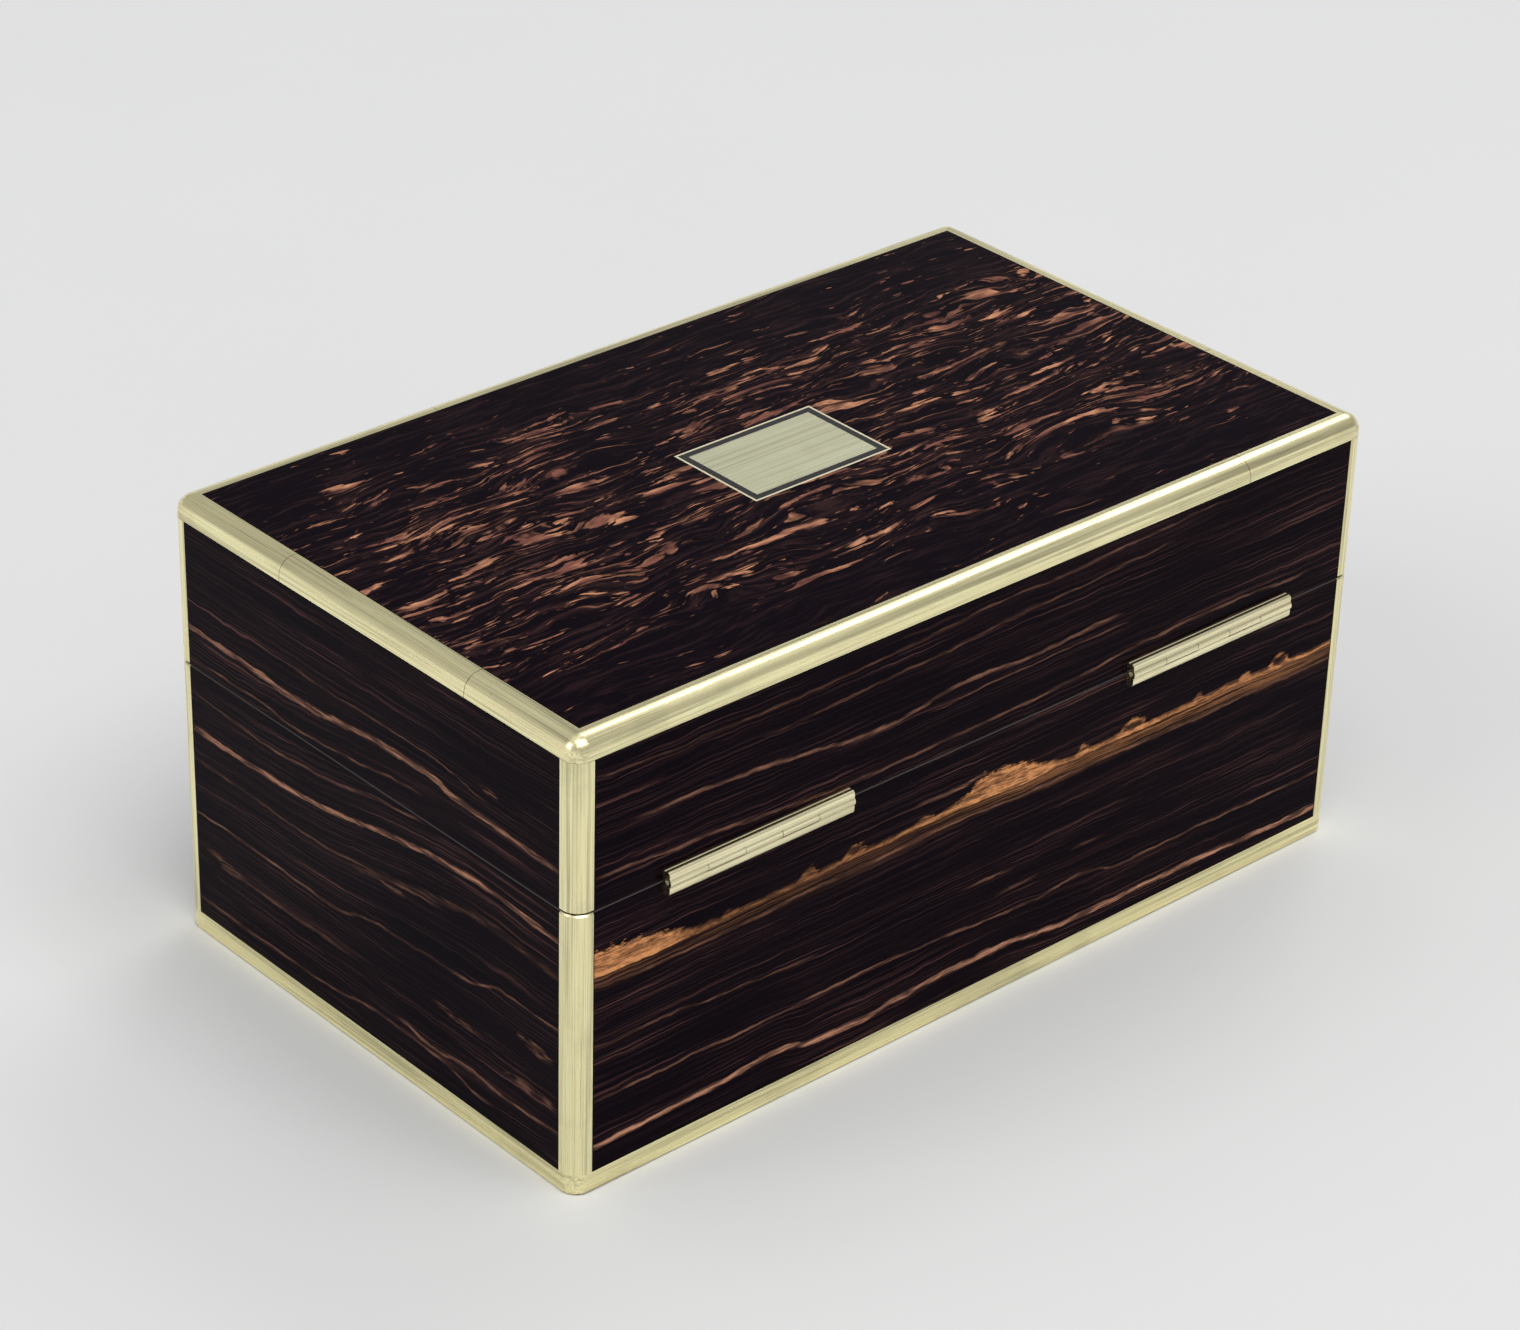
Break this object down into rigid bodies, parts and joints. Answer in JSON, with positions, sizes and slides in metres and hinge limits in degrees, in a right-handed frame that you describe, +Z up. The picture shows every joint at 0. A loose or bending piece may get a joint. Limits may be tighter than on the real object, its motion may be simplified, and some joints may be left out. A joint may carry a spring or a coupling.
{
  "type": "travel jewelry box",
  "caption": "Veneered wooden box with brass edging, a lid on moulded hinges, a lift-out velvet tray over a lined well, and a link-plate lock with its key.",
  "frame": {"origin": "middle of the underside, on the surface that the box stands on", "axes": "+X to the right seen from the front, +Y from the lock in the front to the hinges on the back, +Z up"},
  "size_m": [0.305, 0.2099, 0.1445],
  "materials": {
    "pine_core": "planed softwood, stained where it shows",
    "side_veneer": "near-black veneer with red-brown stripes, high gloss shellac",
    "top_veneer": "near-black veneer with tan mottle, high gloss shellac",
    "edging_brass": "satin, rubbed along its length",
    "hinge_brass": "satin",
    "pin_steel": "drawn wire",
    "key_steel": "polished, worn",
    "plaque_brass": "satin, rubbed along its length",
    "ebony": "black, polished",
    "boxwood": "pale, polished",
    "rosewood": "oiled and polished",
    "baize": "felted wool",
    "velvet": "short pile velvet",
    "tray_velvet": "short pile velvet on board",
    "tab_ribbon": "woven silk ribbon"
  },
  "bodies": {
    "base": {"bottom_board": "pine_core", "underside_baize": "baize", "base_front_board": "pine_core", "base_back_board": "pine_core", "base_left_board": "pine_core", "base_right_board": "pine_core", "base_front_veneer": "side_veneer", "base_back_veneer": "side_veneer", "base_left_veneer": "side_veneer", "base_right_veneer": "side_veneer", "base_corner_strip_front_left": "edging_brass", "base_corner_strip_front_right": "edging_brass", "base_corner_strip_back_left": "edging_brass", "base_corner_strip_back_right": "edging_brass", "bottom_strip_front": "edging_brass", "bottom_strip_back": "edging_brass", "bottom_strip_left": "edging_brass", "bottom_strip_right": "edging_brass", "lip_strips": "rosewood", "well_linings": "velvet", "well_floor_pad": "velvet", "hinge_base_leaf_left": "hinge_brass", "hinge_base_leaf_right": "hinge_brass", "hinge_pins": "pin_steel", "base_screws": "hinge_brass", "lock_case": "hinge_brass", "escutcheon": "hinge_brass"},
    "lid": {"lid_top_board": "pine_core", "lid_front_board": "pine_core", "lid_back_board": "pine_core", "lid_left_board": "pine_core", "lid_right_board": "pine_core", "lid_front_veneer": "side_veneer", "lid_back_veneer": "side_veneer", "lid_left_veneer": "side_veneer", "lid_right_veneer": "side_veneer", "lid_top_veneer": "top_veneer", "lid_corner_strip_front_left": "edging_brass", "lid_corner_strip_front_right": "edging_brass", "lid_corner_strip_back_left": "edging_brass", "lid_corner_strip_back_right": "edging_brass", "top_strip_front": "edging_brass", "top_strip_back": "edging_brass", "top_strip_left": "edging_brass", "top_strip_right": "edging_brass", "plaque": "plaque_brass", "plaque_border": "ebony", "plaque_stringing": "boxwood", "hinge_lid_leaf_left": "hinge_brass", "hinge_lid_leaf_right": "hinge_brass", "lid_screws": "hinge_brass", "lock_link_plate": "hinge_brass", "lid_pad": "velvet"},
    "tray": {"tray_bottom": "tray_velvet", "tray_walls": "tray_velvet", "tray_dividers": "tray_velvet", "ring_rolls": "velvet", "tray_lift_tabs": "tab_ribbon"},
    "key": {"key": "key_steel"},
    "bolt": {"lock_bolt": "hinge_brass"}
  },
  "joints": [
    {"name": "lid_hinge", "type": "hinge", "parent": "base", "child": "lid", "pos_m": [0, 0.09225, 0.0914], "axis": [-1, 0, 0], "range_deg": [0, 100]},
    {"name": "tray_lift", "type": "slide", "parent": "base", "child": "tray", "axis": [0, 0, 1], "range_m": [0, 0.036]},
    {"name": "key_turn", "type": "hinge", "parent": "base", "child": "key", "pos_m": [0, -0.09, 0.066], "axis": [0, 1, 0], "range_deg": [0, 90]},
    {"name": "bolt_slide", "type": "slide", "parent": "base", "child": "bolt", "axis": [1, 0, 0], "range_m": [0, 0.0062]}
  ],
  "couplings": [
    {"joint": "bolt_slide", "follows": "key_turn", "m_per_rad": 0.0039}
  ]
}
